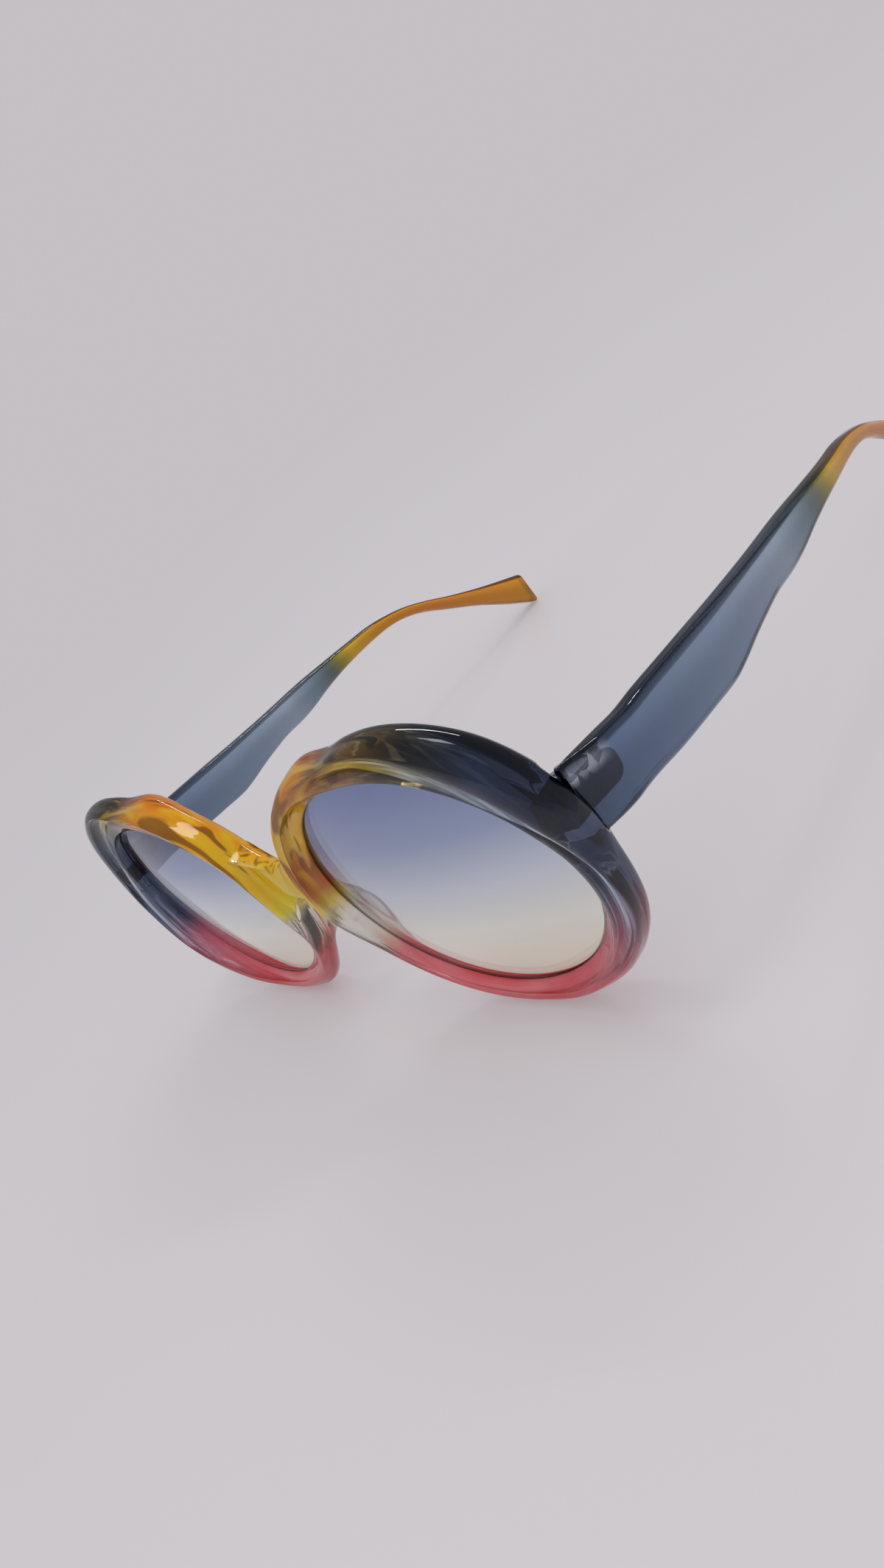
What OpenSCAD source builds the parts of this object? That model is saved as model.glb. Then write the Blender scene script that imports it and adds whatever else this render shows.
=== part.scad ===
// Oversized round sunglasses, open and standing on the rim bottoms and the temple tips.
// X runs to the wearer's left, Y runs back along the temples, Z is up.
// The origin is on the table, under the middle of the glasses.

/* [Lenses] */
// Width of one lens
lens_w = 55; // [50:0.5:58]
// Height of one lens
lens_h = 46.4; // [42:0.2:50]
// Distance between the two lenses at the nose
bridge_w = 19; // [17:0.5:22]
// Thickness of the lens sheet
lens_t = 2; // [1.8:0.1:2.2]
// Radius of the lens curve
base_r = 130; // [110:5:180]
// How far the lens edge sits in the rim
groove_d = 0.7; // [0.5:0.1:0.9]
// Turn of each lens plane back towards the temple, in degrees
wrap = 3.4; // [2:0.2:5]

/* [Front] */
// Forward lean of the front when it stands on a table, in degrees
lean = 1.9; // [0.5:0.1:3]
// Width of the moulding at the rim bottom, beyond the lens opening
bottom_w = 4.8; // [4.4:0.1:5.5]
// Width of the brow strand with the strand below it, over the temple
brow_w = 9.4; // [9:0.1:10]
// Width of the nose side of the rim
nose_side_w = 4.5; // [4.2:0.1:5]
// How far the brow's lower ridge stands in front of the lens plane
ridge_d = 4; // [3.6:0.1:4.4]
// Depth of the valley that sets the brow strand off
valley_d = 1.1; // [0.7:0.1:1.3]
// How far the moulded nose pads reach behind the rim
pad_d = 3.2; // [2.4:0.2:4]
// Height of the bridge between the rims
bridge_h = 8.4; // [7:0.2:10]

/* [Temples] */
// Length of a temple from the hinge to the tip, along the top view
temple_l = 141; // [132:1:146]
// Thickness of a temple at its front end
temple_t = 3.8; // [3.6:0.1:4.2]
// Downward slope of the straight part of a temple, in degrees
temple_slope = 5; // [4:0.5:6]

/* [Hinges] */
// Distance of each hinge axis out from the edge of the lens
hinge_out = 2.8; // [2.6:0.1:3]
// Height of the hinge barrels above the middle of the lens
hinge_up = 9.3; // [9:0.1:9.6]
// Outer diameter of the hinge barrels
barrel_d = 3.2; // [3:0.1:3.4]
// Diameter of the hinge screw
screw_d = 1.4; // [1.2:0.1:1.6]
// Height of one of the five barrels
barrel_h = 0.9; // [0.8:0.05:1]
// Radial play of the screw in the barrels
screw_play = 0.03; // [0.02:0.01:0.08]

/* [Hidden] */

smoke = [0.16, 0.20, 0.29];
lilac = [0.55, 0.58, 0.72];
slate = [0.27, 0.36, 0.47];
steel = [0.62, 0.62, 0.64];

// Half axes of the lens opening, and the middle of each lens
open_a = lens_w / 2 - groove_d;
open_b = lens_h / 2 - groove_d;
lens_x = (lens_w + bridge_w) / 2;
// The lens curve's top, so that the lens edge lies evenly about the rim's middle plane
lens_top = (sag(open_a) + sag(open_b)) / 2;
groove_play = 0.06;
rim_stations = 90;
station_step = 360 / rim_stations;

// Height of the lens middle above the table, and where the front stands along Y
front_z = (open_b + bottom_w) * cos(lean) + sin(lean);
back_y = 2;
half_length = 67.36;
tip_h = 9.7;

// Hinge, which keeps its place against the lens edge, and the temple outside it
hinge_x = lens_x + lens_w / 2 + hinge_out;
hinge_y = back_y + barrel_d / 2 + 0.1;
hinge_z = front_z + hinge_up;
barrel_gap = 0.08;
barrel_pitch = barrel_h + barrel_gap;
barrels = 5;
hinge_h = barrels * barrel_pitch - barrel_gap;
face_gap = 0.15;
temple_face_x = hinge_x + barrel_d / 2 + face_gap;
temple_x = temple_face_x + temple_t / 2;
leaf_w = 4.6;
leaf_shift = 0.2;
leaf_reach = 2.2;
plate_t = 1.2;
plate_l = 6.7;
plate_h = 4.8;
plate_r = 1.7;
plate_front = 0.9;
screw_head_d = 2.4;
screw_head_h = 0.7;
slot_w = 0.4;

// Landing for the temple, flat across the back of the brow's end
end_gap = 0.25;
landing_half = 6.1;
landing_depth = 6;
landing_in = 4.6;

function sag(r) = base_r - sqrt(base_r * base_r - r * r);

// Smooth curve through rows of [position, value]; a closed one repeats every full turn
function row_of(rows, i, closed) =
  let (n = len(rows), turn = floor(i / n))
  closed
    ? [rows[i - turn * n][0] + 360 * turn, rows[i - turn * n][1]]
    : rows[min(max(i, 0), n - 1)];
function row_before(rows, a, i = 0) =
  i + 1 < len(rows) && rows[i + 1][0] <= a ? row_before(rows, a, i + 1) : i;
function pitch_of(p, q) = q[0] == p[0] ? 0 : (q[1] - p[1]) / (q[0] - p[0]);
function curve_at(rows, a, closed = true) =
  let (
    i = min(row_before(rows, a), closed ? len(rows) - 1 : len(rows) - 2),
    p0 = row_of(rows, i - 1, closed),
    p1 = row_of(rows, i, closed),
    p2 = row_of(rows, i + 1, closed),
    p3 = row_of(rows, i + 2, closed),
    h = p2[0] - p1[0],
    s = min(max((a - p1[0]) / h, 0), 1),
    m1 = pitch_of(p0, p2) * h,
    m2 = pitch_of(p1, p3) * h
  )
  (2 * s ^ 3 - 3 * s ^ 2 + 1) * p1[1] + (s ^ 3 - 2 * s ^ 2 + s) * m1
  + (3 * s ^ 2 - 2 * s ^ 3) * p2[1] + (s ^ 3 - s ^ 2) * m2;

// Faces of a tube of rings, each with the same number of points
function tube_faces(rings, n, closed) = concat(
  [for (i = [0:rings - (closed ? 1 : 2)], j = [0:n - 1])
    let (k = (i + 1) % rings, m = (j + 1) % n) [i * n + j, i * n + m, k * n + m]],
  [for (i = [0:rings - (closed ? 1 : 2)], j = [0:n - 1])
    let (k = (i + 1) % rings, m = (j + 1) % n) [i * n + j, k * n + m, k * n + j]],
  closed ? [] : [[for (j = [n - 1:-1:0]) j], [for (j = [0:n - 1]) (rings - 1) * n + j]]
);

// Rim shape by angle round the lens: 0 is the temple side, 90 the top, 180 the nose side.
// Outer width of the moulding beyond the lens opening
rim_w = [
  [-180, nose_side_w + 0.1], [-150, nose_side_w - 0.3], [-120, bottom_w + 0.3],
  [-90, bottom_w], [-60, bottom_w - 0.5], [-40, bottom_w + 0.8], [-20, 6.6], [0, 7.2],
  [14, brow_w - 0.5], [28, brow_w], [42, brow_w], [56, 8.55], [70, 7.3], [82, 5.8], [91, 4.6],
  [98, 4.55], [108, 5.2], [125, 4.8], [150, 4.85]
];
// Crisp lower ridge of the brow strand, which crosses over the inner strand at the top
ridge = [
  [-180, 2.8], [-120, 2.2], [-90, 2], [-60, 2.1], [-45, 3], [-32, 4.6], [-22, 5.7], [-12, 6.1],
  [0, 5.9], [10, 4.7], [20, 3.6], [30, 3.4], [42, 3.9], [56, 4.6], [70, 5.4], [80, 5.1],
  [90, 4], [100, 3.7], [115, 3.1], [140, 3]
];
// Floor of the valley between the ridge and the inner strand
valley = [
  [-180, 2.1], [-120, 1.8], [-90, 1.7], [-60, 1.8], [-45, 2.6], [-32, 3.8], [-22, 4.8],
  [-12, 5], [0, 4.6], [10, 3.3], [20, 2], [30, 1.2], [42, 1.2], [56, 1.8], [70, 3],
  [80, 3.8], [90, 3.4], [100, 3.1], [115, 2.4], [140, 2.2]
];
// Share of the full valley depth: none where the two strands have run together
parting = [
  [-180, 0], [-90, 0], [-60, 0.1], [-45, 0.3], [-30, 0.7], [-10, 0.9], [20, 1], [60, 1],
  [80, 1], [92, 0.6], [102, 0.1], [115, 0], [150, 0]
];
// How far the front of the moulding stands before the lens plane
front_d = [
  [-180, ridge_d + 0.7], [-150, ridge_d - 1.1], [-90, ridge_d - 1.2], [-60, ridge_d + 0.5],
  [-30, ridge_d + 1.2], [0, ridge_d + 0.6], [40, ridge_d + 0.2], [70, ridge_d - 0.1],
  [90, ridge_d], [105, ridge_d], [125, ridge_d + 0.3], [150, ridge_d + 0.5]
];
// How much the outer back of the moulding is drawn forward
back_up = [
  [-180, 0.1], [-140, 0.3], [-100, -0.4], [-60, 0.4], [-25, 1], [10, 1], [45, 0.2],
  [80, -0.3], [105, -1.4], [130, -0.4], [155, -0.2]
];
// How far the front edge of the opening stands back from the lens opening
edge_w = [
  [-180, 1.6], [-150, 1.5], [-120, 1.7], [-90, 1.9], [-60, 1.8], [-30, 1.5], [-12, 1.2], [5, 0.6],
  [20, 0.1], [60, 0], [90, -0.2], [105, 0.3], [125, 1.6], [150, 1.9]
];
edge_d = [
  [-180, 2.5], [-90, 2.3], [-40, 2.7], [0, 3], [40, 3.1], [70, 2.7], [90, 2.5], [110, 2.7],
  [140, 2.6]
];
// Moulded nose pad, as a share of its full reach behind the rim
pad = [
  [-180, 0.3], [-172, 0.8], [-164, 1], [-156, 0.75], [-147, 0.25], [-138, 0.05], [-128, 0],
  [-110, 0], [0, 0], [150, 0], [170, 0.05]
];

// One cross-section of the rim as points of [distance out from the opening, distance forward]
function rim_section(a) =
  let (
    w = curve_at(rim_w, a),
    r = curve_at(ridge, a),
    v = curve_at(valley, a),
    g = curve_at(parting, a) * valley_d,
    f = curve_at(front_d, a),
    e = curve_at(edge_w, a),
    ed = curve_at(edge_d, a),
    p = max(curve_at(pad, a), 0),
    b = curve_at(back_up, a),
    floor_d = f - g - 0.1,
    brow = w - r,
    half_t = lens_t / 2 + groove_play,
    deep = groove_d + groove_play,
    back = half_t + 1.3
  )
  [
    [deep, -half_t],
    [deep, half_t],
    [0, half_t],
    [e * 0.5, half_t + 0.9],
    [e, ed],
    [e + 0.35, ed + 0.35 * (floor_d - ed) + 0.15],
    [(e + 0.35) * 0.45 + v * 0.55, floor_d + g * (v - e) * 0.08 + 0.02],
    [v, floor_d],
    [r - 0.12, f - 0.3 * g - 0.02],
    [r, f],
    [r + 0.28 * brow, f + 0.12],
    [r + 0.55 * brow, f - 0.35],
    [r + 0.8 * brow, f - 1.25],
    [w - 0.12, 0.5 * (f + b) - 0.4],
    [w, 0.5 + b],
    [w - 0.3 + 0.4 * p, -0.9 + b],
    [w - 1.1 + 1.2 * p, -1.8 - 0.45 * p * pad_d + b * (1 - p)],
    [w - 2.1 + 2 * p, -back - p * pad_d + b * (1 - p)],
    [2.5 + 0.4 * p, -back - 0.95 * p * pad_d + 0.5 * b * (1 - p)],
    [1.1 + 0.5 * p, -back + 0.45 - 0.35 * p * pad_d],
    [0.15, -half_t - 0.5],
    [0, -half_t]
  ];

// A point of the rim in the front's own frame, for the lens on the wearer's left
function rim_point(a, out, forward) =
  let (
    nx = open_b * cos(a),
    nz = open_a * sin(a),
    n = sqrt(nx * nx + nz * nz),
    x = open_a * cos(a) + out * nx / n,
    z = open_b * sin(a) + out * nz / n,
    seat = min(max(out, 0), groove_d),
    d = forward + lens_top - sag(norm([open_a * cos(a), open_b * sin(a)]) + seat)
  )
  [lens_x + x * cos(wrap) + d * sin(wrap), x * sin(wrap) - d * cos(wrap), z];

rim_rings = [for (i = [0:rim_stations - 1])
  let (a = 180 - i * station_step)
  [for (p = rim_section(a)) rim_point(a, p[0], p[1])]];

// Outline of a lens, one point for each station of the rim
lens_outline = [for (i = [0:rim_stations - 1])
  let (
    a = -180 + i * station_step,
    nx = open_b * cos(a),
    nz = open_a * sin(a),
    n = sqrt(nx * nx + nz * nz)
  )
  [open_a * cos(a) + groove_d * nx / n, open_b * sin(a) + groove_d * nz / n]];

// The front stands on the table, leaning forward a little
module on_table() {
  translate([0, -half_length, front_z])
    rotate([lean, 0, 0])
      children();
}

// The wearer's left is modelled and the right is its mirror image
module both_sides() {
  children();
  mirror([1, 0, 0]) children();
}

module rim() {
  polyhedron(
    points = [for (ring = rim_rings, p = ring) p],
    faces = tube_faces(rim_stations, len(rim_rings[0]), true),
    convexity = 10
  );
}

// Bridge: a waisted bar, slice by slice, that flares as it runs into both rims
bridge_half = 8.6;
bridge_steps = 10;
bridge_middle_z = 5;
bridge_middle_y = -2.5;
slice_t = 0.05;
module bridge_slice(i) {
  u = -1 + 2 * i / bridge_steps;
  high = bridge_h * (1 + 0.2 * u ^ 2 + 0.25 * u ^ 6);
  deep = 4.6 + 0.7 * u ^ 2 + 0.8 * u ^ 6;
  translate([u * bridge_half, bridge_middle_y + 0.3 * u ^ 2, bridge_middle_z - 0.6 * u ^ 2])
    rotate([0, 90, 0])
      linear_extrude(slice_t, center = true)
        hull()
          for (side = [-1, 1])
            translate([side * (high - deep) / 2, 0])
              circle(d = deep, $fn = 24);
}

module bridge() {
  for (i = [0:bridge_steps - 1])
    hull() {
      bridge_slice(i);
      bridge_slice(i + 1);
    }
}

// Flat landing, cut into the rim's back where the temple's front end stands against it
module landing_cut() {
  translate([temple_face_x - landing_in, back_y - half_length, hinge_z - landing_half])
    cube([landing_depth * 2, landing_depth, 2 * landing_half]);
}

// Block of the front hinge leaf, sunk into the brow's end from behind
module leaf_block(reach = leaf_reach) {
  translate([hinge_x - leaf_w / 2 + leaf_shift, back_y - leaf_reach - half_length,
    hinge_z - hinge_h / 2])
    cube([leaf_w, reach, hinge_h]);
}

module front_frame() {
  color(smoke)
    difference() {
      on_table() {
        both_sides() rim();
        bridge();
      }
      both_sides() {
        leaf_block(leaf_reach + 1);
        landing_cut();
      }
    }
}

module lens() {
  color(lilac, 0.5)
    on_table()
      translate([lens_x, 0, 0])
        rotate([0, 0, wrap])
          intersection() {
            rotate([90, 0, 0])
              linear_extrude(lens_top + 4, center = true)
                polygon(lens_outline);
            translate([0, base_r - lens_top, 0])
              difference() {
                sphere(base_r + lens_t / 2, $fn = 240);
                sphere(base_r - lens_t / 2, $fn = 240);
              }
          }
}

module left_lens() {
  lens();
}

module right_lens() {
  mirror([1, 0, 0]) lens();
}

temple_start = back_y + end_gap;
temple_z = hinge_z + 0.6;
// The tip reaches down to the table, below the temple's sloping line
tip_drop = temple_z - temple_l * tan(temple_slope);

// Temple shape by distance behind the front: top edge above the sloping line
temple_rise = [
  [0, 5], [5, 4.7], [11, 4.3], [15, 4], [20, 4.1], [25, 4], [33, 3.8], [43, 3.5],
  [54, 3.35], [66, 3.4], [76, 3.05], [86, 2.65], [92, 2.4], [98, 1.5], [104, 0], [110, -2.4],
  [118, -6.2], [128, -10.4], [temple_l, tip_h - tip_drop]
];
// Bottom edge below the sloping line, with the notch behind the belly
temple_drop = [
  [0, 6.5], [5, 6.3], [12, 6.1], [20, 6.7], [29, 7.1], [35, 7.3], [39, 6.8], [44, 5.8],
  [49, 5], [54, 4.4], [60, 4.3], [65, 3.8], [71, 2.8], [78, 1.95], [86, 1.45], [92, 1.3],
  [97, 1.5], [102, 2.4], [108, 4.7], [116, 9.3], [124, 14], [133, 20], [temple_l, tip_drop]
];
// How far the temple bows out, and then in towards the ear
temple_side = [
  [0, 0], [20, 0.7], [50, 0.4], [80, -0.6], [95, -2.3], [110, -4.4], [125, -5.8], [temple_l, -6.4]
];
temple_thick = [
  [0, temple_t], [60, temple_t - 0.2], [95, temple_t - 0.5], [120, temple_t - 0.4],
  [temple_l, temple_t + 0.4]
];
temple_rings = 56;
temple_corner = 1.3;
corner_steps = 4;

// Cross-section of a temple: a rounded upright bar
function temple_section(s) =
  let (
    top = curve_at(temple_rise, s, false),
    bottom = -curve_at(temple_drop, s, false),
    half_t = curve_at(temple_thick, s, false) / 2,
    x = curve_at(temple_side, s, false),
    fall = s * tan(temple_slope)
  )
  [for (k = [0:3], j = [0:corner_steps - 1])
    let (
      t = 90 * k + 90 * j / (corner_steps - 1),
      right = k == 0 || k == 3 ? 1 : -1,
      up = k < 2 ? 1 : -1
    )
    [
      x + right * (half_t - temple_corner) + temple_corner * cos(t),
      s,
      -fall + (up > 0 ? top - temple_corner : bottom + temple_corner) + temple_corner * sin(t)
    ]];

module temple_bar() {
  start = temple_start;
  rings = [for (i = [0:temple_rings - 1])
    temple_section(start + (temple_l - start) * i / (temple_rings - 1))];
  translate([temple_x, -half_length, temple_z])
    polyhedron(
      points = [for (ring = rings, p = ring) p],
      faces = tube_faces(temple_rings, 4 * corner_steps, false),
      convexity = 6
    );
}

// Plate of the temple hinge leaf: a strip with a rounded rear end, let into the inner face
module leaf_plate() {
  translate([temple_face_x, hinge_y - half_length, hinge_z])
    rotate([-temple_slope, 0, 0])
      rotate([0, 90, 0])
        linear_extrude(plate_t)
          union() {
            translate([-plate_h / 2, -plate_front])
              square([plate_h, plate_l - plate_r + plate_front]);
            translate([plate_r - plate_h / 2, 0])
              square([plate_h - 2 * plate_r, plate_l]);
            for (side = [-1, 1])
              translate([side * (plate_h / 2 - plate_r), plate_l - plate_r])
                circle(plate_r, $fn = 64);
          }
}

module temple() {
  color(slate)
    difference() {
      temple_bar();
      leaf_plate();
    }
}

module left_temple() {
  temple();
}

module right_temple() {
  mirror([1, 0, 0]) temple();
}

// Height of the lower face of one barrel, counted from the bottom
function barrel_z(i) = hinge_z - hinge_h / 2 + i * barrel_pitch;

module on_axis(z) {
  translate([hinge_x, hinge_y - half_length, z])
    children();
}

module screw_bore() {
  on_axis(hinge_z - hinge_h)
    cylinder(h = 2 * hinge_h, d = screw_d + 2 * screw_play, $fn = 48);
}

// Front leaf: the sunk block with three barrels behind it
module front_hinge_leaf() {
  color(steel)
    difference() {
      union() {
        leaf_block();
        for (i = [0, 2, 4]) {
          on_axis(barrel_z(i))
            cylinder(h = barrel_h, d = barrel_d, $fn = 64);
          on_axis(barrel_z(i))
            translate([-barrel_d / 2, back_y - hinge_y, 0])
              cube([barrel_d, hinge_y - back_y, barrel_h]);
        }
      }
      screw_bore();
    }
}

module left_front_hinge_leaf() {
  front_hinge_leaf();
}

module right_front_hinge_leaf() {
  mirror([1, 0, 0]) front_hinge_leaf();
}

// Temple leaf: the plate in the temple with two barrels in between
module temple_hinge_leaf() {
  color(steel)
    difference() {
      union() {
        leaf_plate();
        for (i = [1, 3]) {
          on_axis(barrel_z(i))
            cylinder(h = barrel_h, d = barrel_d, $fn = 64);
          on_axis(barrel_z(i))
            cube([temple_face_x - hinge_x + plate_t / 2, barrel_d / 2, barrel_h]);
        }
      }
      screw_bore();
    }
}

module left_temple_hinge_leaf() {
  temple_hinge_leaf();
}

module right_temple_hinge_leaf() {
  mirror([1, 0, 0]) temple_hinge_leaf();
}

// Screw: a slotted pan head on the top barrel, with its shaft down through all five
module hinge_screw() {
  top = hinge_z + hinge_h / 2;
  color(steel)
    difference() {
      union() {
        on_axis(top)
          cylinder(h = screw_head_h, d = screw_head_d, $fn = 48);
        on_axis(top - hinge_h)
          cylinder(h = hinge_h, d = screw_d, $fn = 48);
      }
      on_axis(top + screw_head_h)
        cube([screw_head_d * 2, slot_w, screw_head_h], center = true);
    }
}

module left_hinge_screw() {
  hinge_screw();
}

module right_hinge_screw() {
  mirror([1, 0, 0]) hinge_screw();
}

front_frame();
left_lens();
right_lens();
left_temple();
right_temple();
left_front_hinge_leaf();
right_front_hinge_leaf();
left_temple_hinge_leaf();
right_temple_hinge_leaf();
left_hinge_screw();
right_hinge_screw();
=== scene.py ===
import math

import bpy
import numpy as np
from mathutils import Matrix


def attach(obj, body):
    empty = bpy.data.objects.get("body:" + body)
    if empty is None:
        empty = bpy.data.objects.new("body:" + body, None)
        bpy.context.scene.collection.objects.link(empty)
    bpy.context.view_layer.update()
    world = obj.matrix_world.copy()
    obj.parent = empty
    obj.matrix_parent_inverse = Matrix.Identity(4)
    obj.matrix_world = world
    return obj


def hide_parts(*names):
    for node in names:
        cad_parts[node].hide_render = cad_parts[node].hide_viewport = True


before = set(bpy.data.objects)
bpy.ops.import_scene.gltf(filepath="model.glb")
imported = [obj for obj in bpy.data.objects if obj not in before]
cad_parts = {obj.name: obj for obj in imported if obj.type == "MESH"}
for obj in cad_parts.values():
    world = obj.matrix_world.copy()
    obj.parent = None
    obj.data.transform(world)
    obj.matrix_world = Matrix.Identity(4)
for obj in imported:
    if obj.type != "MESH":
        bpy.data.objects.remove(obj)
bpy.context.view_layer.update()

# Moulded front.
# One injection of clear plastic holds both rims, the bridge and the nose pads. The brow strand of each rim
# lies over an inner strand, and the colour runs from smoke over amber and clear to pink round each lens.
LENS_W, LENS_H, BRIDGE_W, LENS_T = 55, 46.4, 19, 2
BASE_R, GROOVE_D, GROOVE_PLAY = 130, 0.7, 0.06
WRAP, LEAN = math.radians(3.4), math.radians(1.9)
BOTTOM_W, BROW_W, NOSE_SIDE_W = 4.8, 9.4, 4.5
RIDGE_D, VALLEY_D, PAD_D, BACK_WALL = 4, 1.1, 3.2, 1.3
OPEN_A, OPEN_B = LENS_W / 2 - GROOVE_D, LENS_H / 2 - GROOVE_D
LENS_X, HALF_LENGTH, BACK_Y, FOOT_Y = (LENS_W + BRIDGE_W) / 2, 67.36, 2, 1
FRONT_Z = (OPEN_B + BOTTOM_W) * math.cos(LEAN) + FOOT_Y * math.sin(LEAN)

# Each table goes round the lens opening as (degrees from its outer end over the top, size in mm or share):
# the rim's width, how far out its ridge and its valley lie, how much of the valley is there, how far
# forward the ridge stands, how far the back is drawn forward, how far out and forward the inner edge lies,
# and how much there is of the nose pad and of the painted highlight lines, with half the width of the pale
# facet.
RIM_WIDTH = [
    (-180, NOSE_SIDE_W + 0.1), (-150, NOSE_SIDE_W - 0.3), (-120, BOTTOM_W + 0.3), (-90, BOTTOM_W),
    (-60, BOTTOM_W - 0.5), (-40, BOTTOM_W + 0.8), (-20, 6.6), (0, 7.2), (14, BROW_W - 0.5), (28, BROW_W),
    (42, BROW_W), (56, 8.55), (70, 7.3), (82, 5.8), (91, 4.6), (98, 4.55), (108, 5.2), (125, 4.8),
    (150, 4.85)]
RIDGE_AT = [
    (-180, 2.8), (-120, 2.2), (-90, 2), (-60, 2.1), (-45, 3), (-32, 4.6), (-22, 5.7), (-12, 6.1), (0, 5.9),
    (10, 4.7), (20, 3.6), (30, 3.4), (42, 3.9), (56, 4.6), (70, 5.4), (80, 5.1), (90, 4), (100, 3.7),
    (115, 3.1), (140, 3)]
VALLEY_AT = [
    (-180, 2.1), (-120, 1.8), (-90, 1.7), (-60, 1.8), (-45, 2.6), (-32, 3.8), (-22, 4.8), (-12, 5),
    (0, 4.6), (10, 3.3), (20, 2), (30, 1.2), (42, 1.2), (56, 1.8), (70, 3), (80, 3.8), (90, 3.4),
    (100, 3.1), (115, 2.4), (140, 2.2)]
PARTING = [
    (-180, 0), (-90, 0), (-60, 0.1), (-45, 0.3), (-30, 0.7), (-10, 0.9), (20, 1), (60, 1), (80, 1),
    (92, 0.6), (102, 0.1), (115, 0), (150, 0)]
FRONT_AT = [
    (-180, RIDGE_D + 0.7), (-150, RIDGE_D - 1.1), (-90, RIDGE_D - 1.2), (-60, RIDGE_D + 0.5),
    (-30, RIDGE_D + 1.2), (0, RIDGE_D + 0.6), (40, RIDGE_D + 0.2), (70, RIDGE_D - 0.1), (90, RIDGE_D),
    (105, RIDGE_D), (125, RIDGE_D + 0.3), (150, RIDGE_D + 0.5)]
BACK_UP = [
    (-180, 0.1), (-140, 0.3), (-100, -0.4), (-60, 0.4), (-25, 1), (10, 1), (45, 0.2), (80, -0.3),
    (105, -1.4), (130, -0.4), (155, -0.2)]
EDGE_AT = [
    (-180, 1.6), (-150, 1.5), (-120, 1.7), (-90, 1.9), (-60, 1.8), (-30, 1.5), (-12, 1.2), (5, 0.6),
    (20, 0.1), (60, 0), (90, -0.2), (105, 0.3), (125, 1.6), (150, 1.9)]
EDGE_DEPTH = [
    (-180, 2.5), (-90, 2.3), (-40, 2.7), (0, 3), (40, 3.1), (70, 2.7), (90, 2.5), (110, 2.7), (140, 2.6)]
NOSE_PAD = [
    (-180, 0.3), (-172, 0.8), (-164, 1), (-156, 0.75), (-147, 0.25), (-138, 0.05), (-128, 0), (-110, 0),
    (0, 0), (150, 0), (170, 0.05)]
# Share of painted highlight lines on the front face. They stand in for light refracted by the ridge and
# valley.
HIGHLIGHT_LINES = [(-180, 0), (-62, 0), (-48, 0.6), (-34, 1), (-12, 1), (0, 0.4), (12, 0), (180, 0)]
FACET_HALF = [
    (-60, 0.3), (-35, 0.4), (-10, 0.6), (20, 0.6), (40, 0.8), (60, 1.0), (80, 0.8), (100, 0.4), (180, 0.3)]


def cubic(s, start, leave, end, reach):
    """Cubic from start to end while s goes from 0 to 1, with the slopes leave and reach at its two ends."""
    return ((2 * s**3 - 3 * s**2 + 1) * start + (s**3 - 2 * s**2 + s) * leave
            + (3 * s**2 - 2 * s**3) * end + (s**3 - s**2) * reach)


def along(rows, at, closed=True):
    """Smooth curve through rows of (position, value): a cubic from row to row, with the slope at a row
    that of the line from the row before it to the row after it. A closed one repeats every 360 degrees."""
    pos, val = np.array(rows, float).T
    if closed:
        pos = np.concatenate([pos[-2:] - 360, pos, pos[:3] + 360])
        val = np.concatenate([val[-2:], val, val[:3]])
    else:
        pos = np.concatenate([pos[:1], pos, pos[-1:]])
        val = np.concatenate([val[:1], val, val[-1:]])
    slope = (val[2:] - val[:-2]) / (pos[2:] - pos[:-2])
    pos, val = pos[1:-1], val[1:-1]
    i = np.clip(np.searchsorted(pos, at, side="right") - 1, 0, len(pos) - 2)
    gap = pos[i + 1] - pos[i]
    return cubic(np.clip((at - pos[i]) / gap, 0, 1), val[i], gap * slope[i], val[i + 1], gap * slope[i + 1])


def lens_sag(r):
    """Depth of the lens curve at r from its middle: BASE_R less the root of BASE_R squared less r squared."""
    return BASE_R - np.sqrt(BASE_R**2 - r * r)


# The lens's middle stands this far before the front's own upright plane, and its edge about in it.
LENS_TOP = (lens_sag(OPEN_A) + lens_sag(OPEN_B)) / 2


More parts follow.
